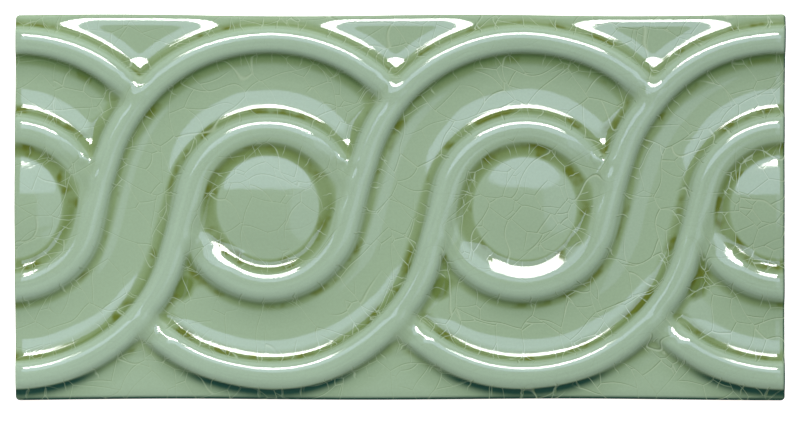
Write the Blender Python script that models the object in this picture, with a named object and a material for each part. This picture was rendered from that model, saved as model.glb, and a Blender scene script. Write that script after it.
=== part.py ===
"""Relief border tile with a two-strand cable pattern (guilloche) round a row of domed eyes.

One pressed and fired ceramic piece, lying on its back with the relief up.
The origin is the middle of the back face. X runs along the tile, Y across it and Z up.
Sizes are in metres.
"""

import math

import bmesh
import bpy

# Outer size of the tile, and the pattern's repeat: three eyes to a tile.
TILE_LENGTH = 0.152
TILE_WIDTH = 0.076
EYE_PITCH = TILE_LENGTH / 3
PATTERN_SHIFT = -0.0007

# Heights above the back face.
GROUND_HEIGHT = 0.0080
RIB_RISE = 0.0024
EYE_EDGE_RISE = 0.0013
EYE_CROWN_RISE = 0.0022

# Each strand is a sunk band between two ribs. Round an eye, one rib follows the inner
# circle and the other the outer circle, and a straight tangent joins circle to circle.
INNER_RADIUS = 0.0153
OUTER_RADIUS = 0.0331

# Section of a rib: flat top, then an S-shaped flank down to the ground.
RIB_TOP_HALF_WIDTH = 0.0014
RIB_FOOT_HALF_WIDTH = 0.0041
FLANK_STEPS = 5
FOOT_SINK = 0.0001
FOOT_SPREAD = 0.00015
ROOT_SINK = 0.0012

# The domed eye: a shallow cap and a rounded edge down to the groove round it.
EYE_CAP_RADIUS = 0.0094
EYE_FOOT_RADIUS = 0.0109
EYE_SEGMENTS = 32
EYE_CAP_STEPS = 3
EYE_EDGE_STEPS = 3

# Where a strand passes under the next one, its ribs stop or sink, in degrees round the eye.
INNER_RIB_SINK_START = 38.0
INNER_RIB_SINK_END = 20.0
UNDER_RIB_HEIGHT_SHARE = 0.86
UNDER_RIB_SINK_SPAN = 14.0

# Angular steps along the ribs, in degrees.
OUTER_STEP = 7.0
INNER_STEP = 11.0

# Edges of the tile.
LONG_EDGE_ROUND = 0.0011
LONG_EDGE_SEGMENTS = 3
CORNER_ROUND = 0.0008
CORNER_SEGMENTS = 2
BACK_CHAMFER = 0.0005
CLIP_HEADROOM = 0.004
OVERHANG = 0.010

GLAZE_COLOUR = (0.36, 0.47, 0.35, 1.0)
GLAZE_ROUGHNESS = 0.12

# The straight tangent leaves the circles at this angle from the row of eyes.
TANGENT_ANGLE = math.asin((INNER_RADIUS + OUTER_RADIUS) / EYE_PITCH)
LEAVE_ANGLE = TANGENT_ANGLE - math.pi / 2


def clear_scene():
    for obj in list(bpy.data.objects):
        bpy.data.objects.remove(obj, do_unlink=True)


def eye_x(index):
    """Where eye number index stands along the tile; eyes 0 and 3 lie on the tile's ends."""
    return -TILE_LENGTH / 2 + PATTERN_SHIFT + index * EYE_PITCH


def smoothstep(u):
    u = min(1.0, max(0.0, u))
    return u * u * (3 - 2 * u)


def arc(centre_x, radius, start, end, step):
    """Points and left-hand normals on a circle in the row of eyes, from angle start to end."""
    count = max(2, math.ceil(abs(end - start) / step))
    turning = math.copysign(1.0, end - start)
    stations = []
    for i in range(count + 1):
        a = start + (end - start) * i / count
        point = (centre_x + radius * math.cos(a), radius * math.sin(a))
        normal = (-turning * math.cos(a), -turning * math.sin(a))
        stations.append((point, normal, a))
    return stations


def left_rib_path(strand):
    """Stations (point, normal, height share) of the left rib of one strand.

    It runs round the lower side of its own eye on the inner circle, up along the tangent,
    and over the next eye on the outer circle until it dives under the next strand.
    """
    near_x = eye_x(strand)
    far_x = eye_x(strand + 1)
    sink_start = math.radians(INNER_RIB_SINK_START)
    sink_end = math.radians(INNER_RIB_SINK_END)
    crossing = math.acos(EYE_PITCH / 2 / OUTER_RADIUS)
    lower = arc(near_x, INNER_RADIUS, -math.pi + sink_end, LEAVE_ANGLE, math.radians(INNER_STEP))
    upper = arc(far_x, OUTER_RADIUS, math.pi + LEAVE_ANGLE, crossing, math.radians(OUTER_STEP))

    path = []
    for point, normal, angle in lower:
        rise = smoothstep((angle + math.pi - sink_end) / (sink_start - sink_end))
        path.append((point, normal, rise))
    for point, normal, angle in upper:
        near = smoothstep((angle - crossing) / math.radians(UNDER_RIB_SINK_SPAN))
        path.append((point, normal, UNDER_RIB_HEIGHT_SHARE + (1 - UNDER_RIB_HEIGHT_SHARE) * near))
    return path


def right_rib_path(strand):
    """The left rib's path turned half round about the point midway between the two eyes."""
    middle_x = (eye_x(strand) + eye_x(strand + 1)) / 2
    turned = []
    for (x, y), (nx, ny), share in left_rib_path(strand):
        turned.append(((2 * middle_x - x, -y), (-nx, -ny), share))
    return turned


def rib_section():
    """Half section of a rib as (distance from its centre line, height share), top to foot."""
    section = []
    for i in range(FLANK_STEPS):
        u = i / FLANK_STEPS
        across = RIB_TOP_HALF_WIDTH + (RIB_FOOT_HALF_WIDTH - RIB_TOP_HALF_WIDTH) * u
        section.append((across, 1 - smoothstep(u)))
    return section


def rib_ring(station):
    """One closed ring of points across a rib, from its left root over the top to its right root."""
    (x, y), (nx, ny), share = station
    half = [(across, RIB_RISE * share * up) for across, up in rib_section()]
    foot = (RIB_FOOT_HALF_WIDTH + FOOT_SPREAD, -FOOT_SINK)
    root = (RIB_FOOT_HALF_WIDTH + FOOT_SPREAD, -ROOT_SINK)
    side = half + [foot, root]
    outline = [(across, z) for across, z in reversed(side)] + [(-across, z) for across, z in side]
    return [(x + nx * across, y + ny * across, GROUND_HEIGHT + z) for across, z in outline]


def object_from(name, bm):
    mesh = bpy.data.meshes.new(name)
    bmesh.ops.recalc_face_normals(bm, faces=bm.faces)
    bm.to_mesh(mesh)
    bm.free()
    obj = bpy.data.objects.new(name, mesh)
    bpy.context.scene.collection.objects.link(obj)
    return obj


def as_helper(obj):
    obj.hide_render = True
    obj.display_type = "WIRE"
    return obj


def swept_rib(name, path):
    bm = bmesh.new()
    rings = [[bm.verts.new(point) for point in rib_ring(station)] for station in path]
    around = len(rings[0])
    for ring, following in zip(rings, rings[1:]):
        for i in range(around):
            j = (i + 1) % around
            bm.faces.new((ring[i], ring[j], following[j], following[i]))
    bm.faces.new(rings[0])
    bm.faces.new(reversed(rings[-1]))
    return as_helper(object_from(name, bm))


def eye_profile():
    """(radius, height above the ground) down the eye from its crown to below the ground."""
    profile = []
    for i in range(1, EYE_CAP_STEPS + 1):
        share = i / EYE_CAP_STEPS
        fall = (EYE_CROWN_RISE - EYE_EDGE_RISE) * share * share
        profile.append((EYE_CAP_RADIUS * share, EYE_CROWN_RISE - fall))
    for i in range(1, EYE_EDGE_STEPS + 1):
        u = i / EYE_EDGE_STEPS
        radius = EYE_CAP_RADIUS + (EYE_FOOT_RADIUS - EYE_CAP_RADIUS) * u
        profile.append((radius, (EYE_EDGE_RISE + FOOT_SINK) * (1 - u * u) - FOOT_SINK))
    profile.append((EYE_FOOT_RADIUS, -ROOT_SINK))
    return profile


def domed_eye(name, centre_x):
    bm = bmesh.new()
    crown = bm.verts.new((centre_x, 0, GROUND_HEIGHT + EYE_CROWN_RISE))
    rings = []
    for radius, z in eye_profile():
        ring = []
        for i in range(EYE_SEGMENTS):
            a = 2 * math.pi * i / EYE_SEGMENTS
            at = (centre_x + radius * math.cos(a), radius * math.sin(a), GROUND_HEIGHT + z)
            ring.append(bm.verts.new(at))
        rings.append(ring)
    for i in range(EYE_SEGMENTS):
        j = (i + 1) % EYE_SEGMENTS
        bm.faces.new((crown, rings[0][i], rings[0][j]))
        for ring, lower in zip(rings, rings[1:]):
            bm.faces.new((ring[i], lower[i], lower[j], ring[j]))
    bm.faces.new(reversed(rings[-1]))
    return as_helper(object_from(name, bm))


def block(name, length, width, bottom, top):
    bm = bmesh.new()
    bmesh.ops.create_cube(bm, size=1.0)
    for vert in bm.verts:
        vert.co.x *= length
        vert.co.y *= width
        vert.co.z = top if vert.co.z > 0 else bottom
    return object_from(name, bm)


def bevel_edges(obj, chosen, offset, segments):
    """Rounds the edges of a block whose two ends pass the test chosen(a, b)."""
    bm = bmesh.new()
    bm.from_mesh(obj.data)
    edges = [e for e in bm.edges if chosen(e.verts[0].co, e.verts[1].co)]
    bmesh.ops.bevel(bm, geom=edges, offset=offset, segments=segments, profile=0.5, affect="EDGES")
    bm.to_mesh(obj.data)
    bm.free()


def ground_slab():
    """The plain slab under the relief, longer than the tile, with its long upper edges rounded."""
    slab = block("border_tile", TILE_LENGTH + 2 * OVERHANG, TILE_WIDTH, 0.0, GROUND_HEIGHT)

    def long_upper(a, b):
        return a.z > GROUND_HEIGHT / 2 and b.z > GROUND_HEIGHT / 2 and abs(a.y - b.y) < CORNER_ROUND

    bevel_edges(slab, long_upper, LONG_EDGE_ROUND, LONG_EDGE_SEGMENTS)
    return slab


def outline_block():
    """What the relief is trimmed to: the tile's outline, its corners and its chamfered back."""
    top = GROUND_HEIGHT + RIB_RISE + CLIP_HEADROOM
    outline = as_helper(block("outline", TILE_LENGTH, TILE_WIDTH, 0.0, top))

    def upright(a, b):
        return abs(a.z - b.z) > GROUND_HEIGHT

    def at_back(a, b):
        return max(a.z, b.z) < BACK_CHAMFER / 2

    bevel_edges(outline, upright, CORNER_ROUND, CORNER_SEGMENTS)
    bevel_edges(outline, at_back, BACK_CHAMFER, 1)
    return outline


def combine(target, other, operation):
    modifier = target.modifiers.new(f"{operation.lower()}_{other.name}", "BOOLEAN")
    modifier.operation = operation
    modifier.solver = "EXACT"
    modifier.object = other


def glazed_material():
    material = bpy.data.materials.new("celadon_glaze")
    material.use_nodes = True
    shader = material.node_tree.nodes["Principled BSDF"]
    shader.inputs["Base Color"].default_value = GLAZE_COLOUR
    shader.inputs["Roughness"].default_value = GLAZE_ROUGHNESS
    shader.inputs["Metallic"].default_value = 0.0
    return material


def build():
    clear_scene()
    tile = ground_slab()
    tile.data.materials.append(glazed_material())
    for strand in range(-1, 4):
        combine(tile, swept_rib(f"left_rib_{strand + 1}", left_rib_path(strand)), "UNION")
        combine(tile, swept_rib(f"right_rib_{strand + 1}", right_rib_path(strand)), "UNION")
    for index in range(4):
        combine(tile, domed_eye(f"eye_{index}", eye_x(index)), "UNION")
    combine(tile, outline_block(), "INTERSECT")


build()
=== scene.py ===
# %% [markdown]
# # A relief border tile under a crackle glaze
#
# The real object is one slab of pressed clay, 152 by 76 mm, with a cable of two interlaced
# strands in relief and a pale green glaze melted over it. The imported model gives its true
# size and place. This lesson makes the surface that the eye sees: the soft glazed relief,
# the pooled colour, the fine cracks and the bare clay below.
#
# The frame is loaded first. Its box is kept, so the finished tile can be held against it.

# %% Load the frame
import math

import bpy
import numpy as np
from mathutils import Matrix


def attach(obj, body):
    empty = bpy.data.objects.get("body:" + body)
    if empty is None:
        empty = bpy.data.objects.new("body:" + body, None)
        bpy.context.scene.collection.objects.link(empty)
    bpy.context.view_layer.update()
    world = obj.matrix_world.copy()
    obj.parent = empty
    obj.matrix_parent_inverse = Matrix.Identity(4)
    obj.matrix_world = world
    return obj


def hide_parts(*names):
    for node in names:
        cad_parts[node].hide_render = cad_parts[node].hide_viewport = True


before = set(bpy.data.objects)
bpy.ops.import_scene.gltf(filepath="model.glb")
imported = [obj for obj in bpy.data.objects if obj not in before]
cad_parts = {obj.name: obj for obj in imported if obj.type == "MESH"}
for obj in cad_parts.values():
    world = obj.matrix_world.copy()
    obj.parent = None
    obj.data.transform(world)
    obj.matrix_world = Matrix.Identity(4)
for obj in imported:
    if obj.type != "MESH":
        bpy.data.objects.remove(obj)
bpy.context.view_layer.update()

# %% [markdown]
# ## Sizes
#
# A strand is a sunk band between two raised ribs. Round an eye, one rib follows a small
# circle and the other a large one, and a straight tangent joins circle to circle. A few
# lengths drive the whole pattern: the tile's length and width, the two radii and the
# rise of the ribs. They are the same named sizes as in the tile's construction. The
# pattern was pressed a little off centre, 0.7 mm to the left.

# %% Driving sizes, in metres
MM = 0.001
TILE_LENGTH = 152 * MM
TILE_WIDTH = 76 * MM
GROUND_HEIGHT = 8.0 * MM
RIB_RISE = 2.4 * MM
INNER_RADIUS = 15.3 * MM
OUTER_RADIUS = 33.1 * MM
EYE_PITCH = TILE_LENGTH / 3
PATTERN_SHIFT = -0.7 * MM

TANGENT_ANGLE = math.asin((INNER_RADIUS + OUTER_RADIUS) / EYE_PITCH)
LEAVE_ANGLE = TANGENT_ANGLE - math.pi / 2
CROSSING_ANGLE = math.acos(EYE_PITCH / 2 / OUTER_RADIUS)


def eye_x(index):
    """Where eye number index stands along the tile; eyes 0 and 3 lie on the tile's ends."""
    return -TILE_LENGTH / 2 + PATTERN_SHIFT + index * EYE_PITCH


print("eyes at, mm:", [round(eye_x(i) / MM, 1) for i in range(4)])

# %% [markdown]
# ## The camera
#
# The photograph looks straight down on the tile from far off, so its sides hardly show.
# The highlights say so too: they run over nearly the same slopes at both ends of the
# tile. A long lens far away gives that flat look. The picture is 800 pixels wide and one
# pixel is 0.197 mm on the tile, which fixes the distance. The camera stands 0.6 mm
# towards the lower edge, because the tile sits a little high in the picture.

# %% Camera
PICTURE_WIDTH_PX = 800
PIXEL_SIZE = 0.1971 * MM
LENS = 420.0
SENSOR_WIDTH = 36.0
FRAMING_DROP = 0.63 * MM


def placed(name, data):
    """A new object for the data, linked to the scene."""
    made = bpy.data.objects.new(name, data)
    bpy.context.scene.collection.objects.link(made)
    return made


camera_distance = PICTURE_WIDTH_PX * PIXEL_SIZE * LENS / SENSOR_WIDTH
camera_data = bpy.data.cameras.new("camera")
camera_data.lens = LENS
camera_data.sensor_width = SENSOR_WIDTH
camera = placed("camera", camera_data)
camera.location = (0.0, -FRAMING_DROP, GROUND_HEIGHT + RIB_RISE + camera_distance)
bpy.context.scene.camera = camera
print("camera height, metres:", round(camera.location.z, 3))

# %% [markdown]
# ## A map of the relief
#
# The relief is a height for each point of the face, so it is worked out on a square map
# as whole arrays. The map is a little larger than the tile, and finer than the mesh
# that is made from it, so that it can be blurred evenly as melting glaze would.

# %% The map's points
MAP_STEP = 0.16 * MM
MAP_HALF_COLUMNS = 500
MAP_HALF_ROWS = 264

map_x = np.arange(-MAP_HALF_COLUMNS, MAP_HALF_COLUMNS + 1) * MAP_STEP
map_y = np.arange(-MAP_HALF_ROWS, MAP_HALF_ROWS + 1) * MAP_STEP
grid_x, grid_y = np.meshgrid(map_x, map_y)
print("map of", grid_x.shape, "points")


def smoothstep(low, high, value):
    """0 below low, 1 above high, and an S-curve 3u2 - 2u3 between them."""
    u = np.clip((value - low) / (high - low), 0.0, 1.0)
    return u * u * (3 - 2 * u)


def gentle_waves(x, y, wavelength, count, seed):
    """Smooth unevenness of unit strength: a sum of sine waves of one rough length.

    Each wave runs in its own direction with its own phase, and the sum is divided by
    the root of half their number, so its spread stays 1 whatever the count.
    """
    draw = np.random.default_rng(seed)
    total = np.zeros_like(x)
    for _ in range(count):
        heading = draw.uniform(0, 2 * np.pi)
        number = 2 * np.pi / (wavelength * draw.uniform(0.7, 1.4))
        phase = draw.uniform(0, 2 * np.pi)
        total += np.sin(number * (x * np.cos(heading) + y * np.sin(heading)) + phase)
    return total / math.sqrt(count / 2)


def blurred(field, radius):
    """The field averaged with a bell curve of that radius, first along rows, then columns."""
    reach = int(math.ceil(3 * radius / MAP_STEP))
    offsets = np.arange(-reach, reach + 1) * MAP_STEP
    weights = np.exp(-0.5 * (offsets / radius) ** 2)
    weights /= weights.sum()
    padded = np.pad(field, reach, mode="edge")
    rows = sum(w * padded[:, i : i + field.shape[1]] for i, w in enumerate(weights))
    return sum(w * rows[i : i + field.shape[0]] for i, w in enumerate(weights))


# %% [markdown]
# ## How far each point is from a rib
#
# A rib's centre line is an arc, a straight tangent and another arc. The distance to an
# arc comes from clamping the polar angle to it, and the distance to a straight from
# clamping the projection. The nearest of the three wins. Besides the distance, each
# point learns how far along the rib it lies and on which side: the band side is
# positive, the other side negative.
#
# A hand modeller's line is never quite true, so the points are first pushed about by a
# tenth or two of a millimetre.

# %% Distances to arcs, tangents and ribs
HAND_WANDER = 0.10 * MM
HAND_WAVELENGTH = 34 * MM

wandered_x = grid_x + HAND_WANDER * gentle_waves(grid_x, grid_y, HAND_WAVELENGTH, 9, 11)
wandered_y = grid_y + HAND_WANDER * gentle_waves(grid_x, grid_y, HAND_WAVELENGTH, 9, 12)


def from_arc(x, y, centre_x, radius, start, end):
    """(distance, length along, outside) for an arc that is centred on the row of eyes.

    The polar angle is turned to lie near the arc's middle and clamped to its two ends.
    """
    middle = (start + end) / 2
    angle = np.arctan2(y, x - centre_x)
    angle = middle + np.mod(angle - middle + np.pi, 2 * np.pi) - np.pi
    held = np.clip(angle, min(start, end), max(start, end))
    off_x = x - centre_x - radius * np.cos(held)
    off_y = y - radius * np.sin(held)
    outside = np.sign(np.hypot(x - centre_x, y) - radius)
    return np.hypot(off_x, off_y), np.abs(held - start) * radius, outside


def from_line(x, y, start, end):
    """(distance, length along, right side) for a straight between two points."""
    run_x = end[0] - start[0]
    run_y = end[1] - start[1]
    length = math.hypot(run_x, run_y)
    share = ((x - start[0]) * run_x + (y - start[1]) * run_y) / length**2
    share = np.clip(share, 0.0, 1.0)
    off_x = x - start[0] - share * run_x
    off_y = y - start[1] - share * run_y
    right = np.sign(off_x * run_y - off_y * run_x)
    return np.hypot(off_x, off_y), share * length, right


INNER_CUT = math.radians(9)
INNER_START = -math.pi + INNER_CUT
LOWER_LENGTH = (LEAVE_ANGLE - INNER_START) * INNER_RADIUS
TANGENT_LENGTH = EYE_PITCH * math.cos(TANGENT_ANGLE)
UPPER_LENGTH = (math.pi + LEAVE_ANGLE - CROSSING_ANGLE) * OUTER_RADIUS
RIB_LENGTH = LOWER_LENGTH + TANGENT_LENGTH + UPPER_LENGTH


def on_circle(centre_x, radius, angle):
    """A point on a circle round an eye."""
    return centre_x + radius * math.cos(angle), radius * math.sin(angle)


def left_rib_field(x, y, strand):
    """(distance, along, side) to a strand's left rib: the nearest of its three runs."""
    near_x = eye_x(strand)
    far_x = eye_x(strand + 1)
    leaving = on_circle(near_x, INNER_RADIUS, LEAVE_ANGLE)
    joining = on_circle(far_x, OUTER_RADIUS, math.pi + LEAVE_ANGLE)
    lower = from_arc(x, y, near_x, INNER_RADIUS, INNER_START, LEAVE_ANGLE)
    tangent = from_line(x, y, leaving, joining)
    upper = from_arc(x, y, far_x, OUTER_RADIUS, math.pi + LEAVE_ANGLE, CROSSING_ANGLE)

    distance = np.stack([lower[0], tangent[0], upper[0]])
    along = np.stack(
        [lower[1], tangent[1] + LOWER_LENGTH, upper[1] + LOWER_LENGTH + TANGENT_LENGTH]
    )
    side = np.stack([lower[2], tangent[2], -upper[2]])
    nearest = distance.argmin(axis=0)[None]
    return tuple(np.take_along_axis(field, nearest, axis=0)[0] for field in (distance, along, side))


print("length of one rib, mm:", round(RIB_LENGTH / MM, 1))

# %% [markdown]
# ## The section of a rib
#
# A section is easiest to state by how steeply the surface leans at each distance from
# the rib's middle, because that lean is what catches the lights. A rib is a round bead:
# it leans slowly to 14 degrees at the shoulder and is steepest at its foot, where a tight
# corner turns it into a long, nearly flat hollow of glaze. Summing the tangent of the
# lean gives the fall.
#
# The fall has to come out at the rise of the rib. The gentle leans fix where each
# reflection lies, so they stay as stated, and only the steep part is scaled.
#
# The rib is a little wider round the small circle than round the large one, and its
# hollow is shorter on the outside. On the lower side of an eye the groove is half filled
# with glaze, so there the section falls much less. Below the third eye it is fuller
# still, with a broad, even slope that catches the widest highlight of the tile.
#
# An eye is a shallow dome. It leans 8 degrees at most, just inside its rim, and then
# flattens out into the floor of the groove round it, which lies well above the ground.
# The two eyes that are cut by the tile's ends are a little steeper, 10 degrees, and the
# third is a little flatter.

# %% Sections of rib and eye
SECTION_POINTS = 600
GENTLE_LEAN = 15.0


def fall_table(leans, whole_fall=None):
    """(distance, fall) for a section given as pairs of distance in mm and lean in degrees.

    Lean is joined by straight lines between the stated points, and its tangent is summed
    by the trapezium rule. Tangents over the gentle lean share one factor, which is solved
    from the whole fall where one is given: (whole - gentle part) over (steep part).
    """
    given_distance, given_lean = np.array(leans).T
    distance = np.linspace(0, given_distance[-1], SECTION_POINTS)
    lean = np.interp(distance, given_distance, given_lean)
    slope = np.tan(np.radians(lean))
    gentle = np.minimum(slope, math.tan(math.radians(GENTLE_LEAN)))
    step = distance[1] * MM
    if whole_fall is not None:
        factor = (whole_fall / step - gentle.sum()) / (slope - gentle).sum()
        slope = gentle + (slope - gentle) * factor
    steps = (slope[1:] + slope[:-1]) / 2 * step
    fall = np.concatenate([[0.0], np.cumsum(steps)])
    steepest = math.degrees(math.atan(slope.max()))
    print("falls", round(fall[-1] / MM, 2), "mm, steepest at", round(steepest), "degrees")
    return distance * MM, fall


def fallen(distance, section):
    """How far the section has fallen at each distance."""
    return np.interp(distance, *section)


RING_TO_BAND = fall_table([
    (0.0, 0), (0.5, 2.5), (1.30, 8.5), (1.87, 13.5), (2.1, 24), (2.7, 40), (3.2, 54),
    (3.7, 54), (4.0, 22), (4.15, 13.5), (4.95, 8.5), (8.0, 2.5), (9.2, 0),
], RIB_RISE)
LARGE_TO_BAND = fall_table([
    (0.0, 0), (0.4, 3), (0.93, 9.3), (1.58, 14.3), (1.85, 24), (2.3, 44), (2.6, 58),
    (2.9, 58), (3.0, 20), (3.05, 14.3), (4.2, 9.3), (6.9, 3.6), (8.3, 0),
], RIB_RISE)
LARGE_TO_OUTSIDE = fall_table([
    (0.0, 0), (0.4, 3), (0.99, 8.2), (1.58, 13.2), (1.95, 30), (2.4, 50), (2.7, 58),
    (3.1, 58), (3.5, 24), (3.75, 13.2), (4.6, 9), (6.1, 2.5), (7.0, 0),
], RIB_RISE)
GROOVE_FALL = 2.2 * MM
RING_TO_GROOVE = fall_table([
    (0.0, 0), (0.55, 3), (1.30, 9), (1.87, 14), (2.2, 28), (2.7, 46), (3.3, 54),
    (4.2, 54),
], GROOVE_FALL)
FILLED_GROOVE_FALL = 1.05 * MM
FILLED_GROOVE = fall_table([
    (0.0, 0), (0.5, 3), (1.24, 9.3), (2.07, 14.2), (2.5, 20), (3.2, 20), (3.6, 14.2),
    (4.24, 9.3), (5.1, 0),
], FILLED_GROOVE_FALL)
BROAD_GROOVE = fall_table([
    (0.0, 0), (0.5, 3), (1.1, 8), (1.5, 10.5), (4.1, 12), (4.5, 30), (5.2, 45), (6.5, 45),
])
FILLED_GROOVE_OF_EYE = {2: BROAD_GROOVE}
LEFT_SHARE_OF_EYE = {2: 0.45}
LEFT_SPAN = (-5.5 * MM, -9.0 * MM)

GROOVE_FLOOR = 1.30 * MM
GROOVE_REACH = (17.0 * MM, 15.5 * MM)
EYE_SECTION = fall_table([(0.0, 0), (9.5, 7.8), (9.8, 7.0), (10.7, 0)])
EYE_FLATNESS = {0: 1.3, 1: 1.0, 2: 0.9, 3: 1.33}
POOL_LEVEL = 1.22 * MM
POOL_TILT_OF_EYE = {2: 0.048}

# %% [markdown]
# ## Where a strand dives under the next
#
# A rib that goes under another dips a little and butts on that rib's side. The right ribs
# dip sooner and deeper than the left ones. The rib round an eye is cut off short where it
# starts: a line square to the crossing rib ends it in a soft face down into the groove.
# Just before that it dips as well, over a longer way at the third eye.
#
# A rib's height is the share of its crest times what the section leaves of the rise. The
# lower side of an eye is told by y over the distance from its centre, which is the sine
# of the polar angle.

# %% Height of one rib
UNDER_DIP = {"left": 0.42, "right": 0.55}
UNDER_DIP_SPAN = {"left": (4.6 * MM, 1.0 * MM), "right": (9.0 * MM, 1.0 * MM)}
UNDER_END = (2.0 * MM, 0.6 * MM)
UNDER_REACH = 12.0 * MM
NOSE_DIP = (0.34, 13.5 * MM, 4.5 * MM)
NOSE_DIP_OF_EYE = {2: (0.36, 16.5 * MM, 2.5 * MM)}
NOSE_FACE = 1.4 * MM
NOSE_REACH = 17.0 * MM
NOSE_POINT = (-14.4 * MM, -4.7 * MM)
NOSE_NORMAL = (-0.296, -0.955)
LOWER_GROOVE = (0.05, -0.75)
LOWER_GROOVE_OF_EYE = {2: (0.05, -0.58)}
RING_TAPER = 0.8 * TANGENT_LENGTH
EYE_SIDE_REACH = (17 * MM, 15 * MM)


def crest_share(along, past_nose, to_over_rib, nose_dip, hand):
    """Share of the full rise that the crest has.

    At both ends it is 1 less a dip, which is an S-curve: of the length along at the
    start, where a soft face cuts it off, and of the distance from the rib that crosses
    over at the end. Beyond that rib it goes to nothing.
    """
    deepest, dip_start, dip_end = nose_dip
    nose = 1 - deepest * smoothstep(dip_start, dip_end, along)
    nose = nose * smoothstep(-NOSE_FACE, NOSE_FACE, past_nose)
    dive = 1 - UNDER_DIP[hand] * smoothstep(*UNDER_DIP_SPAN[hand], to_over_rib)
    dive = dive * smoothstep(UNDER_END[1], UNDER_END[0], to_over_rib)
    share = np.where(along < NOSE_REACH, nose, 1.0)
    return share * np.where(along > RIB_LENGTH - UNDER_REACH, dive, 1.0)


def left_rib(x, y, strand, hand="left"):
    """(height, distance, along, side) of a strand's left rib.

    The section is mixed from the ones for the small and the large circle by how far
    along the rib a point lies, and towards an eye it is the groove's own section. The
    rib that crosses over its end is the next strand's left rib. A right rib is worked
    out as a left rib turned half round, and it has the plain groove all along.
    """
    near_x = eye_x(strand)
    distance, along, side = left_rib_field(x, y, strand)
    over_distance, _, over_side = left_rib_field(x, y, strand + 1)
    from_eye = np.hypot(x - near_x, y)
    on_ring = smoothstep(LOWER_LENGTH + RING_TAPER, LOWER_LENGTH, along)

    ring = fallen(distance, RING_TO_BAND)
    large = fallen(distance, LARGE_TO_BAND)
    outside = fallen(distance, LARGE_TO_OUTSIDE)
    groove = fallen(distance, RING_TO_GROOVE)
    nose_dip = NOSE_DIP
    if hand == "left":
        nose_dip = NOSE_DIP_OF_EYE.get(strand, NOSE_DIP)
        lower_groove = LOWER_GROOVE_OF_EYE.get(strand, LOWER_GROOVE)
        lower_side = smoothstep(*lower_groove, y / np.maximum(from_eye, MM))
        filled = fallen(distance, FILLED_GROOVE_OF_EYE.get(strand, FILLED_GROOVE))
        less = 1 - LEFT_SHARE_OF_EYE.get(strand, 1.0)
        filled = filled * (1 - less * smoothstep(*LEFT_SPAN, x - near_x))
        groove = groove + (filled - groove) * lower_side
    at_eye = smoothstep(*EYE_SIDE_REACH, from_eye)
    to_band = large + (ring - large) * on_ring
    away = outside + (groove - outside) * at_eye
    fall = np.where(side > 0, to_band, away)

    past_nose = (x - near_x - NOSE_POINT[0]) * NOSE_NORMAL[0]
    past_nose += (y - NOSE_POINT[1]) * NOSE_NORMAL[1]
    crest = crest_share(along, past_nose, -over_side * over_distance, nose_dip, hand)
    height = crest * (RIB_RISE - fall)
    return height, distance, along, side


def right_rib(x, y, strand):
    """The left rib turned half round about the middle of the strand."""
    middle_x = (eye_x(strand) + eye_x(strand + 1)) / 2
    return left_rib(2 * middle_x - x, -y, strand, hand="right")


# %% [markdown]
# ## Putting the relief together
#
# All ribs and eyes are laid over each other, and the highest wins at each point. A plain
# maximum would leave knife-sharp creases where two of them meet, so the two highest are
# joined by a smooth maximum: close to equal heights it adds a fillet, (k - difference)
# squared over 4k. Here k grows with the lower of the two heights, so that corners
# between ribs fill up as glaze fills them while the plain ground stays as it is.
#
# Each eye is a shallow dome on a round floor that fills its ring of ribs. Glaze also
# gathers where a rib ends against another, and rounds the corner off. There the relief
# is mixed with a more strongly blurred copy of itself. In the third eye it ran down and
# set as a tilted pool that drowns the dome's lower rim.
#
# The lumps of glaze come first: a low mound in each corner, and a small ramp, a plane
# that climbs from its foot, in each notch outside a crossing and in each upper fork
# between an eye's rib and the rib that crosses over it.

# %% Lumps of glaze in corners, notches and forks
CORNER_FILL = 0.3 * MM
CORNER_FILL_REACH = (9.0 * MM, 0.0)
CORNER_FILL_RADIUS = OUTER_RADIUS - 2.6 * MM
CORNER_FILL_ANGLE = CROSSING_ANGLE + 3.6 * MM / OUTER_RADIUS
RAMP_SLOPE = 0.21
RAMP_FOOT = 29.8 * MM
RAMP_HEIGHT = 1.3 * MM
RAMP_ENDS = (20.0 * MM, 22.0 * MM)
RAMP_HALF_WIDTH = (3.2 * MM, 1.5 * MM)
RAMP_SHIFT = -0.6 * MM
FORK_RAMP_PLACE = 15.4 * MM
FORK_RAMP_FOOT = 14.7 * MM
FORK_RAMP_ENDS = (6.5 * MM, 9.5 * MM)


def glaze_ramp(off_x, off_y, foot, ends):
    """A plane that climbs from its foot at the ramp's slope, faded out at its ends and sides."""
    climb = np.clip(RAMP_SLOPE * (foot - off_y), 0.0, RAMP_HEIGHT)
    return climb * smoothstep(*ends, off_y) * smoothstep(*RAMP_HALF_WIDTH, np.abs(off_x))


corner_fill = np.zeros_like(grid_x)
fill_x, fill_y = on_circle(0.0, CORNER_FILL_RADIUS, CORNER_FILL_ANGLE)
for index in range(-1, 5):
    for turn in (1, -1):
        turned_x = turn * (wandered_x - eye_x(index))
        turned_y = turn * wandered_y
        from_corner = np.hypot(turned_x - fill_x, turned_y - fill_y)
        lump = CORNER_FILL * smoothstep(*CORNER_FILL_REACH, from_corner)
        off_x = turned_x - turn * EYE_PITCH / 2 - RAMP_SHIFT
        notch_ramp = glaze_ramp(off_x, turned_y, RAMP_FOOT, RAMP_ENDS)
        corner_fill = np.max([corner_fill, lump, notch_ramp], axis=0)
    off_x = wandered_x - eye_x(index) - FORK_RAMP_PLACE
    fork_ramp = glaze_ramp(off_x, wandered_y, FORK_RAMP_FOOT, FORK_RAMP_ENDS)
    corner_fill = np.maximum(corner_fill, fork_ramp)
print("lumps of glaze up to", round(corner_fill.max() / MM, 2), "mm")

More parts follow.
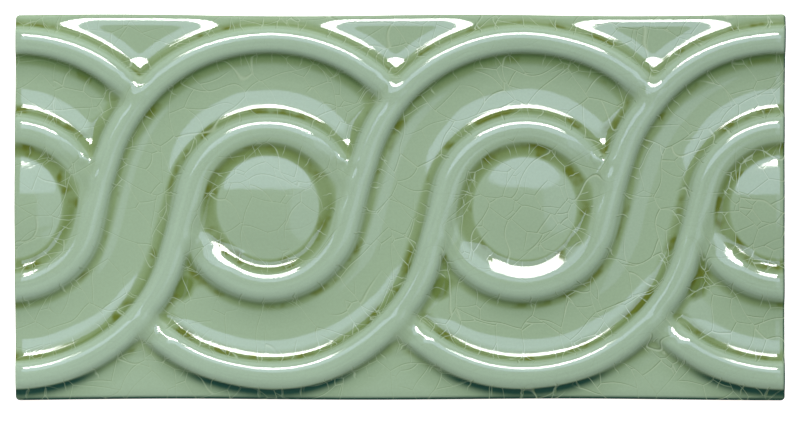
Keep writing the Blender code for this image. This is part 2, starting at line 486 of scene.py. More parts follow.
# %% Ribs and eyes joined
RIB_FILLET = 2.0 * MM
EYE_FILLET = 0.5 * MM
FILLET_HEIGHTS = (0.15 * MM, 1.1 * MM)
LEAST_FILLET = 1e-9
GLAZE_SMOOTHING = 0.20 * MM
POOL_SHORE = 3 * MM
POOL_REACH = (16 * MM, 15 * MM)
POOL_ROWS = (2 * MM, 7 * MM)
TILTED_POOL_FILLET = 0.12 * MM


def joined(layers, most_fillet):
    """The highest of several layers, with a fillet where the two highest are close."""
    second, first = np.partition(np.stack(layers), -2, axis=0)[-2:]
    fillet = most_fillet * smoothstep(*FILLET_HEIGHTS, second) + LEAST_FILLET
    closeness = np.clip(fillet - (first - second), 0.0, None)
    return first + closeness**2 / (4 * fillet)


rib_heights = [np.zeros_like(grid_x)]
ribs = []
for strand in range(-1, 4):
    for rib_of in (left_rib, right_rib):
        height, *place = rib_of(wandered_x, wandered_y, strand)
        rib_heights.append(height)
        ribs.append(place)
eye_heights = [np.zeros_like(grid_x)]
eye_fillet = np.full_like(grid_x, EYE_FILLET)
for index in range(4):
    from_centre = np.hypot(wandered_x - eye_x(index), wandered_y)
    dome = EYE_FLATNESS[index] * (EYE_SECTION[1][-1] - fallen(from_centre, EYE_SECTION))
    eye = GROOVE_FLOOR + dome
    if index in POOL_TILT_OF_EYE:
        downhill = (np.hypot(wandered_y, POOL_SHORE) - wandered_y) / 2
        eye = joined([eye, POOL_LEVEL + POOL_TILT_OF_EYE[index] * downhill], EYE_FILLET)
        in_pool = smoothstep(*POOL_REACH, from_centre) * smoothstep(*POOL_ROWS, -wandered_y)
        eye_fillet += (TILTED_POOL_FILLET - eye_fillet) * in_pool
    eye_heights.append(eye * smoothstep(*GROOVE_REACH, from_centre))
all_ribs = joined([*rib_heights, corner_fill], RIB_FILLET)
relief = blurred(joined([all_ribs, np.max(eye_heights, axis=0)], eye_fillet), GLAZE_SMOOTHING)
print("relief up to", round(relief.max() / MM, 2), "mm before its ends are softened")

# %% Softened rib ends
END_SMOOTHING = 0.75 * MM
END_REACH = (6.0 * MM, 2.5 * MM)
END_ROWS = (27.5 * MM, 25.5 * MM)
END_ANGLE = CROSSING_ANGLE + 3.0 * MM / OUTER_RADIUS

rib_ends = []
outer_end = on_circle(0.0, OUTER_RADIUS, END_ANGLE)
for index in range(-1, 5):
    for end_x, end_y in (outer_end, (-NOSE_POINT[0], -NOSE_POINT[1])):
        rib_ends.append((eye_x(index) + end_x, end_y))
        rib_ends.append((eye_x(index) - end_x, -end_y))
to_end = np.min([np.hypot(wandered_x - x, wandered_y - y) for x, y in rib_ends], axis=0)
end_softness = smoothstep(*END_REACH, to_end) * smoothstep(*END_ROWS, np.abs(grid_y))
relief += (blurred(relief, END_SMOOTHING) - relief) * end_softness
print("relief from", round(relief.min() / MM, 2), "to", round(relief.max() / MM, 2), "mm")

# %% [markdown]
# ## Handmade unevenness
#
# Hand pressing and thick glaze leave broad, shallow waves and finer ripples. They are
# about a hundredth of a millimetre high, which nobody would measure, but a gloss shows
# them at once: the edges of the reflections wander.

# %% Unevenness
BROAD_WAVE_HEIGHT = 0.007 * MM
BROAD_WAVELENGTH = 11 * MM
FINE_WAVE_HEIGHT = 0.0005 * MM
FINE_WAVELENGTH = 2.6 * MM

relief += BROAD_WAVE_HEIGHT * gentle_waves(grid_x, grid_y, BROAD_WAVELENGTH, 16, 21)
relief += FINE_WAVE_HEIGHT * gentle_waves(grid_x, grid_y, FINE_WAVELENGTH, 30, 22)
print("relief now from", round(relief.min() / MM, 3), "to", round(relief.max() / MM, 3), "mm")

# %% [markdown]
# ## What the glaze does
#
# Melted glaze runs off the crests and gathers in the hollows. Where it is thick it is
# olive, where it is thin it is paler and bluer. The difference between the blurred
# relief and the relief itself is a good measure of that: positive in hollows, negative
# on crests. More of it is caught in the ring round an eye, in the valleys along the band
# side of the ribs, and in the forks where a ring's rib parts from the rib that crosses
# over it. The sides that face the upper edge are made more olive too. The lower forks
# hold the deepest pools, and towards the lower edge the glaze is thinner.
#
# The steep sides that face the lower edge turn away from the lamps, and the dark seam
# below them is mostly painted shade, a shadow that reaches a little way out over the
# floor, with some glaze pooled at their foot. That seam is 1 just below those sides and
# fades downwards: the greatest of steepness times exp(-distance / reach).
#
# The map also keeps how far along and across the nearest rib a point lies, because the
# glaze cracks squarely across the narrow valleys. The lengths along start from a value of
# their own on each rib and each side, so that no two valleys crack alike.

# %% Rib coordinates
RIB_OFFSET = 0.31
SIDE_OFFSET = 0.13

rib_distance = np.stack([rib[0] for rib in ribs])
nearest_rib = rib_distance.argmin(axis=0)[None]
rib_along = np.stack([rib[1] + RIB_OFFSET * number for number, rib in enumerate(ribs)])
rib_side = np.stack([rib[2] for rib in ribs])
across = np.take_along_axis(rib_distance * rib_side, nearest_rib, axis=0)[0]
along = np.take_along_axis(rib_along + SIDE_OFFSET * rib_side, nearest_rib, axis=0)[0]
print("points lie up to", round(across.max() / MM, 1), "mm into the band from a crest")

# %% Pooling and the painted shade of seams
POOL_RADIUS = 1.5 * MM
POOL_FULL = 0.45 * MM
RING_POOL = 1.00
RING_POOL_INSIDE = (9.6 * MM, 11.0 * MM)
RING_POOL_OUTSIDE = (14.5 * MM, 12.3 * MM)
UPPER_FORK_POOL = 0.35
LOWER_FORK_POOL = 2.10
LOWER_MARGIN_POOL = -0.22
LOWER_MARGIN = (-28.0 * MM, -33.0 * MM)
VALLEY_POOL = 0.32
VALLEY_NEAR_CREST = (2.2 * MM, 3.2 * MM)
VALLEY_FAR_FROM_CREST = (5.8 * MM, 4.3 * MM)
UPPER_FLANK_OLIVE = 0.45
UPPER_FLANK_SLOPES = (0.25, 0.9)
FORK_PLACE = (16.0 * MM, 16.2 * MM)
FORK_REACH = (3.4 * MM, 0.8 * MM)
FORK_HOLLOWS = (0.05, 0.55)
SEAM_SHADE_SLOPES = (0.70, 1.45)
SEAM_SHADE_REACH = 1.5 * MM
SEAM_SHADE_DROP = 3
SEAM_SHADE_STEPS = 30

pool = (blurred(relief, POOL_RADIUS) - relief) / POOL_FULL
from_eye_centre = np.min([np.hypot(wandered_x - eye_x(i), wandered_y) for i in range(4)], axis=0)
in_ring = smoothstep(*RING_POOL_INSIDE, from_eye_centre)
in_ring *= smoothstep(*RING_POOL_OUTSIDE, from_eye_centre)
forks = [
    np.hypot(wandered_x - eye_x(i) - turn * FORK_PLACE[0], wandered_y - turn * FORK_PLACE[1])
    for i in range(-1, 5)
    for turn in (1, -1)
]
in_fork = smoothstep(*FORK_REACH, np.min(forks, axis=0)) * smoothstep(*FORK_HOLLOWS, pool)
fork_pool = np.where(wandered_y > 0, UPPER_FORK_POOL, LOWER_FORK_POOL)
pool += RING_POOL * in_ring + fork_pool * in_fork
pool += LOWER_MARGIN_POOL * smoothstep(*LOWER_MARGIN, grid_y)
valley = smoothstep(*VALLEY_NEAR_CREST, across) * smoothstep(*VALLEY_FAR_FROM_CREST, across)
pool += VALLEY_POOL * valley

slope_down = np.gradient(relief, MAP_STEP, axis=0)
pool += UPPER_FLANK_OLIVE * smoothstep(*UPPER_FLANK_SLOPES, -slope_down)
# Painted shade: the seam below the sides that face the lower edge stands for their shadow.
facing_down = smoothstep(*SEAM_SHADE_SLOPES, slope_down)
above = np.pad(facing_down, ((0, SEAM_SHADE_DROP + SEAM_SHADE_STEPS), (0, 0)))[SEAM_SHADE_DROP:]
seam_and_shade = np.max(
    [above[i : i + len(map_y)] * math.exp(-i * MAP_STEP / SEAM_SHADE_REACH) for i in range(SEAM_SHADE_STEPS)],
    axis=0,
)
print("pooling from", round(pool.min(), 2), "to", round(pool.max(), 2))

# %% [markdown]
# ## The mesh
#
# The face is a grid of points. Its rows fall on every second row of the map and its
# columns are a little wider apart, because the lamps stand towards the upper edge and
# draw their lines along the rows. Near the edges the lines crowd together, because the
# tile rounds over there within a millimetre or two.

# %% Grid lines
COLUMN_STEP = 0.45 * MM
ROW_STEP = 2 * MAP_STEP
EDGE_LINES = np.array([0.0, 0.07, 0.18, 0.34, 0.56, 0.84, 1.16]) * MM
EDGE_BAND = 1.4 * MM
ROUNDING_GUARD = 1e-6


def grid_lines(half, step):
    """Positions of the grid lines: crowded at both edges, one every step between."""
    count = math.floor((half - EDGE_BAND) / step)
    middle = np.arange(-count, count + 1) * step
    return np.concatenate([-half + EDGE_LINES, middle, half - EDGE_LINES[::-1]])


line_x = grid_lines(TILE_LENGTH / 2, COLUMN_STEP)
line_y = grid_lines(TILE_WIDTH / 2, ROW_STEP)
face_x, face_y = np.meshgrid(line_x, line_y)
print("grid of", face_x.shape, "points")


def sampled(field):
    """The map's value at each grid point, mixed from the four map points round it."""
    column = (face_x - map_x[0]) / MAP_STEP
    row = (face_y - map_y[0]) / MAP_STEP
    i = np.clip(np.floor(column + ROUNDING_GUARD).astype(int), 0, len(map_x) - 2)
    j = np.clip(np.floor(row + ROUNDING_GUARD).astype(int), 0, len(map_y) - 2)
    u = column - i
    v = row - j
    low = field[j, i] * (1 - u) + field[j, i + 1] * u
    high = field[j + 1, i] * (1 - u) + field[j + 1, i + 1] * u
    return low * (1 - v) + high * v


# %% [markdown]
# ## Rounded edges
#
# The glaze rolls over all four edges. On the long edges the roll is broad, about 2.6 mm,
# and it is what draws the bright line along the top of the tile. At the ends it is
# narrower, 1.8 mm. The drop is again summed from a lean, and each point uses its distance
# from the rounded outline.

# %% Edge drop
CORNER_ROUND = 0.8 * MM
LONG_EDGE_DROP = 0.70 * MM
LONG_EDGE_SECTION = fall_table([
    (0.0, 78), (0.1, 60), (0.3, 32), (0.65, 14), (1.02, 9.3), (1.9, 3), (2.6, 0),
], LONG_EDGE_DROP)
END_EDGE_DROP = 0.60 * MM
END_EDGE_SECTION = fall_table([
    (0.0, 78), (0.1, 60), (0.3, 34), (0.7, 16), (1.2, 6), (1.8, 0),
], END_EDGE_DROP)
EDGE_CHANGE = 1.5 * MM


def edge_distance(x, y):
    """How far inside the outline, a rectangle with rounded corners, each point lies."""
    from_x = np.abs(x) - (TILE_LENGTH / 2 - CORNER_ROUND)
    from_y = np.abs(y) - (TILE_WIDTH / 2 - CORNER_ROUND)
    outside = np.hypot(np.clip(from_x, 0, None), np.clip(from_y, 0, None))
    inside = np.clip(np.maximum(from_x, from_y), None, 0)
    return np.clip(CORNER_ROUND - outside - inside, 0, None)


def edge_drop(x, y):
    """How far the roll over the edge has come down, mixed from the two kinds of edge."""
    inside = edge_distance(x, y)
    to_end = TILE_LENGTH / 2 - np.abs(x)
    to_long_edge = TILE_WIDTH / 2 - np.abs(y)
    long_edge = smoothstep(-EDGE_CHANGE, EDGE_CHANGE, to_end - to_long_edge)
    by_long_edge = LONG_EDGE_DROP - fallen(inside, LONG_EDGE_SECTION)
    by_end = END_EDGE_DROP - fallen(inside, END_EDGE_SECTION)
    return by_end + (by_long_edge - by_end) * long_edge


# %% [markdown]
# ## An outline that is not quite straight
#
# The photographed tile was cut by hand: its edges bow by a fifth of a millimetre. The
# grid's corners are first drawn in to a quarter circle by the square-to-disc rule, x times
# the root of 1 - y2/2 and the other way about, and then each edge is moved in or out by a
# slow wave that dies out inwards.

# %% Outline
BOW_REACH = 12 * MM


def drawn_in_corners(x, y, radius):
    """Moves the points in each corner square of that size onto a quarter disc."""
    p = np.clip((np.abs(x) - (TILE_LENGTH / 2 - radius)) / radius, 0, 1)
    q = np.clip((np.abs(y) - (TILE_WIDTH / 2 - radius)) / radius, 0, 1)
    new_x = np.abs(x) - p * radius * (1 - np.sqrt(1 - q * q / 2))
    new_y = np.abs(y) - q * radius * (1 - np.sqrt(1 - p * p / 2))
    return np.sign(x) * new_x, np.sign(y) * new_y


def bowed(x, y):
    """Moves each edge in or out along its own slow curve, fading out inwards.

    The curves are in millimetres over u and v, which run from -1 to 1 across the tile.
    """
    to_right = smoothstep(TILE_LENGTH / 2 - BOW_REACH, TILE_LENGTH / 2, x)
    to_left = smoothstep(TILE_LENGTH / 2 - BOW_REACH, TILE_LENGTH / 2, -x)
    to_top = smoothstep(TILE_WIDTH / 2 - BOW_REACH, TILE_WIDTH / 2, y)
    to_bottom = smoothstep(TILE_WIDTH / 2 - BOW_REACH, TILE_WIDTH / 2, -y)
    u = x / (TILE_LENGTH / 2)
    v = y / (TILE_WIDTH / 2)
    right = (0.10 * (v + 0.1) ** 2 + 0.30 * np.clip(v - 0.45, 0, 1) - 0.12) * MM
    left = (0.10 * np.cos(3.0 * v) - 0.06) * MM
    top = (0.16 * np.sin(7.0 * u + 0.4) - 0.10 + 0.10 * u * u) * MM
    bottom = (0.13 * np.cos(6.0 * u + 0.5) + 0.12 * u * u - 0.12) * MM
    return x + right * to_right - left * to_left, y + top * to_top - bottom * to_bottom


corner_x, corner_y = drawn_in_corners(face_x, face_y, CORNER_ROUND)
drop = edge_drop(corner_x, corner_y)
face_z = GROUND_HEIGHT + sampled(relief) - drop
top_x, top_y = bowed(corner_x, corner_y)
print("face from", round(face_z.min() / MM, 2), "to", round(face_z.max() / MM, 2), "mm high")

# %% [markdown]
# ## Sides and back
#
# The grid's border, taken once round, is carried down as rings: straight down the wall,
# in over a small chamfer, and across the flat back to its middle. Extra rings close to
# the chamfer keep the shading crisp there. The last ring is closed by a fan to a single
# middle point, so the shell has no hole.

# %% Closed shell
rows, columns = face_x.shape
number = np.arange(rows * columns).reshape(rows, columns)
border = np.concatenate([
    number[0, :-1],
    number[:-1, -1],
    number[-1, :0:-1],
    number[:0:-1, 0],
])
front = np.stack([top_x, top_y, face_z], axis=-1).reshape(-1, 3)
rim = front[border]

BACK_CHAMFER = 0.5 * MM
CHAMFER_TRIM = 0.06 * MM
BACK_INSET = 12 * MM
WALL_SHARES = (0.10, 0.35, 0.65, 0.93, 1.0)
wall = [rim * [1, 1, 1 - s] + [0, 0, s * BACK_CHAMFER] for s in WALL_SHARES]


def drawn_in(points, inset, height):
    """The border moved towards the middle by a fixed inset, at one height."""
    half = np.array([TILE_LENGTH / 2, TILE_WIDTH / 2])
    flat = points[:, :2] * (1 - inset / half)
    return np.column_stack([flat, np.full(len(points), height)])


back = [
    drawn_in(rim, CHAMFER_TRIM, BACK_CHAMFER - CHAMFER_TRIM),
    drawn_in(rim, BACK_CHAMFER - CHAMFER_TRIM, CHAMFER_TRIM),
    drawn_in(rim, BACK_CHAMFER, 0.0),
    drawn_in(rim, BACK_INSET, 0.0),
]
rings = wall + back
points = np.concatenate([front, *rings, [[0.0, 0.0, 0.0]]])

corner = number[:-1, :-1].ravel()
face_quads = np.stack([corner, corner + 1, corner + columns + 1, corner + columns], axis=1)
ring_numbers = [border]
for i in range(len(rings)):
    ring_numbers.append(len(front) + i * len(border) + np.arange(len(border)))
side_quads = [
    np.stack([lower, np.roll(lower, -1), np.roll(upper, -1), upper], axis=1)
    for upper, lower in zip(ring_numbers, ring_numbers[1:])
]
quads = np.concatenate([face_quads, *side_quads])
last = ring_numbers[-1]
fan = np.stack([np.full(len(last), len(points) - 1), np.roll(last, -1), last], axis=1)
print(len(points), "points,", 2 * len(quads) + len(fan), "triangles")

# %% [markdown]
# ## The tile and what its points remember
#
# The shell becomes one object at the origin. The maps are kept on its points as numbers
# that the glaze reads: the pooling, the painted shade of the seams, the two rib
# coordinates, and how far the glaze has rolled over the right-hand and the lower edge,
# which carries painted shade there and on the walls, as they look dark from above.

# %% Tile object
END_ROLL = (0.45 * MM, 0.15 * MM)
LOWER_EDGE_ROLL = (0.70 * MM, 0.32 * MM)
WALL_ROLL_SHADE = 0.3

mesh = bpy.data.meshes.new("glazed_tile")
mesh.from_pydata(points.tolist(), [], quads.tolist() + fan.tolist())
mesh.validate()
mesh.shade_smooth()
tile = placed("glazed_tile", mesh)


def keep_on_points(name, front_values, ring_values):
    """Stores one number per point: the face's own values, then one value for each ring."""
    rest = np.repeat(np.asarray(ring_values, dtype=float), len(border))
    values = np.concatenate([np.ravel(front_values), rest, [ring_values[-1]]])
    attribute = mesh.attributes.new(name, "FLOAT", "POINT")
    attribute.data.foreach_set("value", values.astype(np.float32))


to_right = TILE_LENGTH / 2 - corner_x
to_bottom = TILE_WIDTH / 2 + corner_y
# How far the glaze rolls over the right-hand and lower edges; it carries painted shade there and on
# the walls.
edge_roll_shade = np.maximum(smoothstep(*END_ROLL, to_right), smoothstep(*LOWER_EDGE_ROLL, to_bottom))
maps = {"pool": pool, "seam_and_shade": seam_and_shade, "rib_along": along, "rib_across": across}
for name, field in maps.items():
    keep_on_points(name, sampled(field), [0.0] * len(rings))
keep_on_points("edge_roll_shade", edge_roll_shade, [WALL_ROLL_SHADE] * len(wall) + [0.0] * len(back))
print("kept on each point:", *maps, "edge_roll_shade")

# %% [markdown]
# ## The glaze
#
# A crackle glaze is clear green glass over pale clay. Three things give it away: its
# colour deepens where it has pooled, a web of fine cracks runs through it, and its
# surface mirrors the lamps sharply. The shader is one glossy Principled surface whose
# colour is worked out from the pooling and the cracks.
#
# Small helpers keep the node tree readable: each adds one node, links or sets its
# inputs, and returns the output.

# %% Node helpers
glaze = bpy.data.materials.new("celadon_glaze")
glaze.use_nodes = True
tree = glaze.node_tree
shader = tree.nodes["Principled BSDF"]


def feed(socket, value):
    """Links an output to the socket, or sets the socket to a constant."""
    if isinstance(value, bpy.types.NodeSocket):
        tree.links.new(value, socket)
    else:
        socket.default_value = value


def added(kind, *values, **settings):
    """One node with its settings, and its first inputs fed in order."""
    node = tree.nodes.new(kind)
    for name, setting in settings.items():
        setattr(node, name, setting)
    for socket, value in zip(node.inputs, values):
        feed(socket, value)
    return node


def maths(operation, *values):
    """One Math node."""
    return added("ShaderNodeMath", *values, operation=operation).outputs[0]


def times(first, second):
    """The product of two numbers."""
    return maths("MULTIPLY", first, second)


def vectors(operation, *values, scale=None):
    """One Vector Math node."""
    node = added("ShaderNodeVectorMath", *values, operation=operation)
    if scale is not None:
        feed(node.inputs["Scale"], scale)
    return node.outputs[0]


def eased(value, low, high, to_low=0.0, to_high=1.0):
    """A smooth step of a value from low to high."""
    given = (value, low, high, to_low, to_high)
    return added("ShaderNodeMapRange", *given, interpolation_type="SMOOTHSTEP").outputs[0]


def blended(factor, first_colour, second_colour, blend="MIX"):
    """Two colours mixed by a factor."""
    node = added("ShaderNodeMix", factor, data_type="RGBA", blend_type=blend)
    colour_inputs = [socket for socket in node.inputs if socket.type == "RGBA"]
    feed(colour_inputs[0], first_colour)
    feed(colour_inputs[1], second_colour)
    return [socket for socket in node.outputs if socket.type == "RGBA"][0]


def stored(name):
    """The number kept on the mesh's points under that name."""
    return added("ShaderNodeAttribute", attribute_name=name).outputs["Fac"]


def cloud(vector, size, detail=2.0, roughness=0.5):
    """Noise whose blobs have about that size, as (number, colour)."""
    node = added("ShaderNodeTexNoise", vector)
    feed(node.inputs["Scale"], 1 / size)
    feed(node.inputs["Detail"], detail)
    feed(node.inputs["Roughness"], roughness)
    return node.outputs[0], node.outputs[1]


def cells(vector, size, feature, dimensions="3D"):
    """A cell pattern of about that size: a Voronoi node with the feature asked for."""
    node = added("ShaderNodeTexVoronoi", voronoi_dimensions=dimensions, feature=feature)
    feed(node.inputs["W" if dimensions == "1D" else "Vector"], vector)
    feed(node.inputs["Scale"], 1 / size)
    return node


# %% [markdown]
# ### The web of cracks
#
# Cooling glaze cracks in steps. Long, curved cracks come first, and later ones stop
# where they meet them. A cell pattern with its edges bent by noise gives the first
# cracks. For the second, each cell shifts the pattern by its own random amount, so that
# its lines break off at the cell's edge just as real late cracks do. Both fade in and
# out in slow patches. In the valleys short cracks run squarely across, and a cell
# pattern of one dimension along the rib places them.
#
# A crack is a thin sheet of air that stands askew in the glass. Its light line at the
# surface is a painted highlight, and the thin dark line on the clay beside it is its
# painted shadow, so the whole web is worked out twice, the second time moved sideways by
# the glaze's depth.

# %% Cracks
CRACK_HALF_WIDTH = 0.10 * MM
CROSS_HALF_WIDTH = 0.16 * MM
CRACK_SHADOW_SHIFT = (0.09 * MM, -0.18 * MM, 0.0)
CROSS_SHADOW_SHIFT = 0.17 * MM
FIRST_CELL = 11 * MM
SECOND_CELL = 6.5 * MM
CROSS_SPACING = 5.5 * MM
BEND_SIZE = 15 * MM
BEND_STRENGTH = 10 * MM
CELL_SHIFT = 0.9
CROSS_WOBBLE = 2.4 * MM

coordinates = added("ShaderNodeTexCoord").outputs["Object"]
pooling = stored("pool")
off_crests = eased(pooling, -0.40, 0.02, 0.12, 1.0)
from_rib = maths("ABSOLUTE", stored("rib_across"))


def patches(size, low, high, offset=(0.0, 0.0, 0.0)):
    """Slow patches of about that size, taken from noise at a place of their own."""
    return eased(cloud(vectors("ADD", coordinates, offset), size)[0], low, high)


first_patches = patches(26 * MM, 0.28, 0.42)
second_patches = patches(14 * MM, 0.38, 0.50, (0.3, 0.1, 0.2))
valley_patches = patches(7 * MM, 0.34, 0.46, (0.1, 0.4, 0.0))
past_crest = eased(from_rib, 2.2 * MM, 2.7 * MM)
before_floor = eased(from_rib, 3.8 * MM, 5.2 * MM, 1.0, 0.0)
in_valley = times(times(past_crest, before_floor), valley_patches)


def crack_line(edge_output, size, half_width=CRACK_HALF_WIDTH):
    """1 on the line, easing to 0 at half_width from it."""
    return eased(edge_output, 0.0, half_width / size, 1.0, 0.0)


def crack_web(place, along_shift):
    """Both generations of cracks and the cross-cracks of the valleys, at shifted places."""
    bend = vectors("SUBTRACT", cloud(place, BEND_SIZE, 0.8)[1], (0.5, 0.5, 0.5))
    bent = vectors("ADD", place, vectors("SCALE", bend, scale=BEND_STRENGTH))
    first_edges = cells(bent, FIRST_CELL, "DISTANCE_TO_EDGE").outputs["Distance"]
    cell_colour = cells(bent, FIRST_CELL, "F1").outputs["Color"]
    shifted = vectors("ADD", bent, vectors("SCALE", cell_colour, scale=CELL_SHIFT))
    second_edges = cells(shifted, SECOND_CELL, "DISTANCE_TO_EDGE").outputs["Distance"]
    first_cracks = times(crack_line(first_edges, FIRST_CELL), first_patches)
    second_cracks = times(crack_line(second_edges, SECOND_CELL), second_patches)
    web = times(maths("MAXIMUM", first_cracks, second_cracks), off_crests)

    wobble = times(cloud(place, 3 * MM)[0], CROSS_WOBBLE)
    station = maths("ADD", maths("ADD", stored("rib_along"), wobble), along_shift)
    cross_edges = cells(station, CROSS_SPACING, "DISTANCE_TO_EDGE", "1D").outputs["Distance"]
    cross_lines = crack_line(cross_edges, CROSS_SPACING, CROSS_HALF_WIDTH)
    return maths("MAXIMUM", web, times(cross_lines, in_valley))


cracks = crack_web(coordinates, 0.0)
crack_shadows = crack_web(vectors("ADD", coordinates, CRACK_SHADOW_SHIFT), CROSS_SHADOW_SHIFT)
print("nodes for the cracks:", len(tree.nodes))

# %% [markdown]
# ### Colour from depth
#
# The colour runs from a pale blue green on the crests, where the clay shows through,
# over the plain green of the flats to olive in the hollows. Beneath the ledges, on the
# steep sides that face the lower edge, a dark seam is painted shade with a little pooled
# glaze in it, and along the tile's own lower edge that painted shade is nearly black green.
# Noise adds rusty olive stains where the pools are deepest.

# %% Colour
THIN_GLAZE = (0.405, 0.540, 0.375, 1.0)
PLAIN_GLAZE = (0.356, 0.480, 0.305, 1.0)
THICK_GLAZE = (0.260, 0.362, 0.170, 1.0)
DEEP_GLAZE = (0.155, 0.230, 0.055, 1.0)
# Colours of painted shade: the seam below the ledges and the nearly black green edges.
SEAM_AND_SHADE_COLOUR = (0.098, 0.180, 0.058, 1.0)
EDGE_SHADE_COLOUR = (0.014, 0.065, 0.045, 1.0)
OLIVE_STAIN = (0.135, 0.180, 0.020, 1.0)
SEAM_SHADE_STRENGTH = 0.90
EDGE_ROLL_SHADE_STRENGTH = 0.95

colour = blended(eased(pooling, -0.55, -0.02), THIN_GLAZE, PLAIN_GLAZE)
colour = blended(eased(pooling, 0.25, 0.95), colour, THICK_GLAZE)
colour = blended(eased(pooling, 0.80, 1.90), colour, DEEP_GLAZE)
stain = times(patches(5 * MM, 0.52, 0.66), eased(pooling, 0.55, 1.20))
colour = blended(stain, colour, OLIVE_STAIN)

place_x, place_y, place_z = added("ShaderNodeSeparateXYZ", coordinates).outputs
# Painted shade, with some pooled glaze, below the steep sides that face the lower edge.
to_lower_edge = eased(place_y, -31 * MM, -34.5 * MM)
seam_shade_here = stored("seam_and_shade")
colour = blended(times(seam_shade_here, SEAM_SHADE_STRENGTH), colour, SEAM_AND_SHADE_COLOUR)
lower_edge_shade = times(eased(seam_shade_here, 0.15, 0.80), to_lower_edge)
colour = blended(lower_edge_shade, colour, EDGE_SHADE_COLOUR)
# Painted shade on the rolled-over edges and the walls.
rolled_edge_shade = times(stored("edge_roll_shade"), EDGE_ROLL_SHADE_STRENGTH)
colour = blended(rolled_edge_shade, colour, EDGE_SHADE_COLOUR)

# %% [markdown]
# ### Firing, brush and cracks
#
# Slow noise shifts the colour a little, as uneven firing does, and the whole tile grows
# slowly darker towards its right-hand end and its upper edge. The part of that drift
# towards the upper edge is painted light: it keeps the lower part lighter, where the
# lamps leave it too dim. Faint streaks run along the ribs, where the glaze was brushed,
# and a fine grain lies over everything.
#
# The cracks go on last, first their painted shadows and then the light lines, which are
# painted highlights. They are stronger towards the right-hand end and nearly vanish in the
# dark seams of painted shade.

# %% Tone and cracks
FIRING_TINT = (0.84, 0.88, 0.74, 1.0)
FIRING_STRENGTH = 0.15
DRIFT_PER_METRE = 0.75
STREAK_STRETCH = 0.04
# Colours of the cracks' painted highlight and painted shadow.
CRACK_HIGHLIGHT = (0.470, 0.590, 0.385, 1.0)
CRACK_SHADOW = (0.180, 0.260, 0.125, 1.0)
CRACK_SPAN = (-50 * MM, 60 * MM)

firing = eased(cloud(coordinates, 55 * MM, 1.0)[0], 0.35, 0.65)
colour = blended(times(firing, FIRING_STRENGTH), colour, FIRING_TINT, "MULTIPLY")
stretched_along = times(stored("rib_along"), STREAK_STRETCH)
streak_place = added("ShaderNodeCombineXYZ", stretched_along, stored("rib_across"))
streaks = cloud(streak_place.outputs[0], 0.7 * MM)[0]
grain = cloud(coordinates, 0.45 * MM, 1.0)[0]
on_crest = eased(from_rib, 1.2 * MM, 2.4 * MM, 1.0, 0.0)
streak_tone = times(eased(streaks, 0.25, 0.75, -0.04, 0.04), on_crest)
grain_tone = eased(grain, 0.2, 0.8, 0.975, 1.025)
# Darker to the right and towards the top; the part along the height is painted light.
drift = times(maths("ADD", place_x, place_y), -DRIFT_PER_METRE)
tone = maths("ADD", maths("ADD", streak_tone, grain_tone), drift)

# Painted shadows of the cracks, then their light lines, which are painted highlights.
shadow_gain = eased(place_x, *CRACK_SPAN, 0.50, 0.82)
colour = blended(times(crack_shadows, shadow_gain), colour, CRACK_SHADOW)
out_of_seam_shade = eased(seam_shade_here, 0.0, 0.9, 0.80, 0.22)
crack_gain = times(out_of_seam_shade, eased(place_x, *CRACK_SPAN, 0.85, 1.15))
colour = blended(times(cracks, crack_gain), colour, CRACK_HIGHLIGHT)
colour = vectors("SCALE", colour, scale=tone)
print("nodes so far:", len(tree.nodes))

# %% [markdown]
# ### Bare clay below the glaze
#
# Glaze is kept off the back, or it would weld the tile to the kiln shelf. It stops part
# way down the sides in a wavy line with a thick bead, and below that the fired clay is
# buff, dull and sandy. Height over the back tells glaze from clay, and noise makes the
# line wander.

# %% Clay
GLAZE_LINE = 3.0 * MM
GLAZE_LINE_WANDER = 3.2 * MM
CLAY = (0.56, 0.43, 0.29, 1.0)
CLAY_DARK = (0.44, 0.32, 0.20, 1.0)
BEAD_STRENGTH = 0.6

line_noise = maths("SUBTRACT", cloud(coordinates, 9 * MM, 3.0)[0], 0.5)
wander = times(line_noise, GLAZE_LINE_WANDER)
over_line = maths("SUBTRACT", maths("ADD", place_z, wander), GLAZE_LINE)
bare = eased(over_line, -0.10 * MM, 0.10 * MM, 1.0, 0.0)
under_bead = eased(over_line, 0.0, 0.25 * MM)
over_bead = eased(over_line, 0.5 * MM, 1.4 * MM, 1.0, 0.0)
bead = times(under_bead, over_bead)
sand = cloud(coordinates, 0.7 * MM, 4.0, 0.65)[0]
clay_colour = blended(eased(sand, 0.35, 0.68), CLAY, CLAY_DARK)
colour = blended(times(bead, BEAD_STRENGTH), colour, THICK_GLAZE)
colour = blended(bare, colour, clay_colour)
print("nodes so far:", len(tree.nodes))

# %% [markdown]
# ### Surface
#
# The cracks are hair-fine grooves, so they go into a bump, with a faint orange peel for
# the melted surface and a coarse sandy grain on the clay. The heights are in units of
# 0.006 mm. The glaze is mirror smooth and the clay is dull, so the roughness is mixed by
# the same mask as the colour.

# %% Surface
GLAZE_ROUGHNESS = 0.06
CLAY_ROUGHNESS = 0.85
GLAZE_IOR = 1.5
PEEL_HEIGHT = 0.15
CRACK_DEPTH = 0.3
SAND_HEIGHT = 9.0
BUMP_UNIT = 0.006 * MM

peel = cloud(coordinates, 1.6 * MM, 1.0)[0]
groove = times(cracks, CRACK_DEPTH)
glaze_height = maths("SUBTRACT", times(peel, PEEL_HEIGHT), groove)
clay_height = times(sand, SAND_HEIGHT)
surface_height = added("ShaderNodeMix", bare)
feed(surface_height.inputs["A"], glaze_height)
feed(surface_height.inputs["B"], clay_height)
bump = added("ShaderNodeBump")
feed(bump.inputs["Height"], surface_height.outputs["Result"])
feed(bump.inputs["Distance"], BUMP_UNIT)
feed(bump.inputs["Strength"], 1.0)

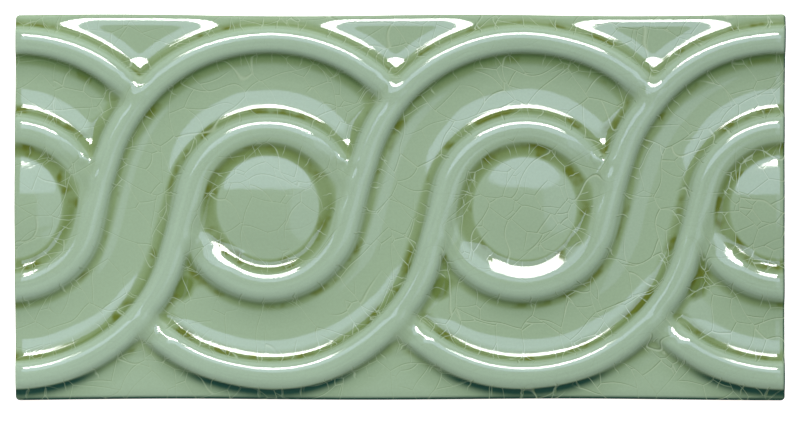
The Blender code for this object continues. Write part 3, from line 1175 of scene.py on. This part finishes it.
feed(shader.inputs["Base Color"], colour)
feed(shader.inputs["Normal"], bump.outputs["Normal"])
feed(shader.inputs["Roughness"], eased(bare, 0.0, 1.0, GLAZE_ROUGHNESS, CLAY_ROUGHNESS))
shader.inputs["IOR"].default_value = GLAZE_IOR
tile.data.materials.append(glaze)
print("nodes in the glaze:", len(tree.nodes))

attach(tile, "root")
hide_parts("border_tile")

# %% [markdown]
# ## Floor, lights and background
#
# The tile lies on a plain white floor that glows a little of its own, as a light table
# does, so that it stays white beside the tile. The reflections in the photograph tell
# how it was lit. Sharp white lines lie where the glaze leans 9 to 14 degrees towards the
# top edge, so a bright strip hangs 18 to 28 degrees off the vertical. It has two rows,
# and the farther one is longer, mostly to the left. Gentler slopes mirror a paler,
# bluish panel between that strip and the camera, and another panel to the right. Steeper
# ones see a faint wall beyond the strip. Right above the tile it is dark, so flat glaze
# shows its own colour.
#
# Each lamp's ranges are slopes from the vertical, so they can be read straight off the
# leans, and its brightness is that of its face, where white paper would be 1.

# %% Floor
FLOOR_SIZE = 6.0
FLOOR_WHITE = (0.93, 0.93, 0.93, 1.0)
FLOOR_GLOW = 0.90
WHITE = (1.0, 1.0, 1.0, 1.0)
floor_mesh = bpy.data.meshes.new("floor")
half = FLOOR_SIZE / 2
floor_mesh.from_pydata(
    [(-half, -half, 0), (half, -half, 0), (half, half, 0), (-half, half, 0)], [], [(0, 1, 2, 3)]
)
floor = placed("floor", floor_mesh)
floor_paint = bpy.data.materials.new("white_floor")
floor_paint.use_nodes = True
floor_shader = floor_paint.node_tree.nodes["Principled BSDF"]
for name, value in {
    "Base Color": FLOOR_WHITE,
    "Roughness": 0.9,
    "Specular IOR Level": 0.1,
    "Emission Color": WHITE,
    "Emission Strength": FLOOR_GLOW,
}.items():
    floor_shader.inputs[name].default_value = value
floor_mesh.materials.append(floor_paint)
floor.visible_glossy = False

# %% Lights
LAMP_HEIGHT = 2.40
WORLD_GLOW = 0.10
SKY_BLUE = (0.60, 0.70, 1.0)


def panel(name, x_slopes, y_slopes, brightness, colour=WHITE[:3]):
    """A flat lamp that faces down, given by its two ranges and the brightness of its face."""
    lamp = bpy.data.lights.new(name, "AREA")
    lamp.shape = "RECTANGLE"
    lamp.size = (x_slopes[1] - x_slopes[0]) * LAMP_HEIGHT
    lamp.size_y = (y_slopes[1] - y_slopes[0]) * LAMP_HEIGHT
    lamp.energy = brightness * math.pi * lamp.size * lamp.size_y
    lamp.color = colour
    lamp_object = placed(name, lamp)
    middle_x = sum(x_slopes) / 2 * LAMP_HEIGHT
    middle_y = sum(y_slopes) / 2 * LAMP_HEIGHT
    lamp_object.location = (middle_x, middle_y, LAMP_HEIGHT)
    lamp_object.visible_camera = False
    print(name, "gives", round(lamp.energy, 1), "W")


panel("strip_light", (-0.20, 0.20), (0.325, 0.43), 29.0)
panel("far_strip_light", (-0.285, 0.25), (0.43, 0.53), 29.0)
panel("top_panel", (-0.30, 0.46), (0.108, 0.322), 4.2, SKY_BLUE)
panel("right_panel", (0.12, 0.46), (-0.155, 0.105), 1.3, SKY_BLUE)
panel("far_wall", (-1.00, 1.20), (1.05, 2.40), 0.8)

world = bpy.data.worlds.new("studio")
world.use_nodes = True
background = world.node_tree.nodes["Background"]
background.inputs["Color"].default_value = WHITE
background.inputs["Strength"].default_value = WORLD_GLOW
bpy.context.scene.world = world
bpy.context.scene.view_settings.view_transform = "Standard"
